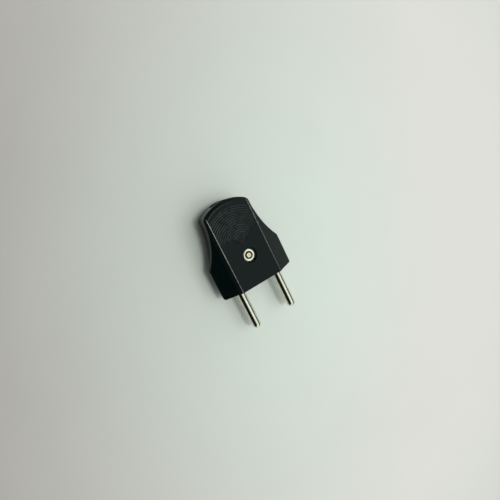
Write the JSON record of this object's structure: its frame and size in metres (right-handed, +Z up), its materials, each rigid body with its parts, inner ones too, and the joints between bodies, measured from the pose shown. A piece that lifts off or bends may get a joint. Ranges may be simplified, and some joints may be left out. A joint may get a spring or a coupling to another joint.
{
  "type": "flat electric plug",
  "caption": "Flat rewirable plug with round pins: black shells held by a screw and nut, waisted for grip, with arc grooves, inner terminals and a cord clamp.",
  "frame": {"origin": "under the middle of the plug's whole length, on the flat that it lies on", "axes": "+X across the pins, +Y towards the cord entry (the pins point along -Y), +Z up through the nut side"},
  "size_m": [0.035, 0.058, 0.013],
  "materials": {
    "case": "moulded black thermoset, satin gloss, paler where its edges are worn",
    "clamp": "moulded, matte",
    "nickel": "nickel plate on brass, polished",
    "zinc_steel": "bright zinc plate",
    "yellow_zinc": "yellow passivated zinc plate"
  },
  "bodies": {
    "root": {"upper_shell": "case", "lower_shell": "case", "cord_clamp": "clamp", "case_nut": "zinc_steel", "case_screw": "yellow_zinc", "pin_left": "nickel", "terminal_washer_left": "zinc_steel", "terminal_spring_washer_left": "zinc_steel", "terminal_screw_left": "yellow_zinc", "clamp_screw_left": "zinc_steel", "pin_right": "nickel", "terminal_washer_right": "zinc_steel", "terminal_spring_washer_right": "zinc_steel", "terminal_screw_right": "yellow_zinc", "clamp_screw_right": "zinc_steel"}
  },
  "joints": []
}
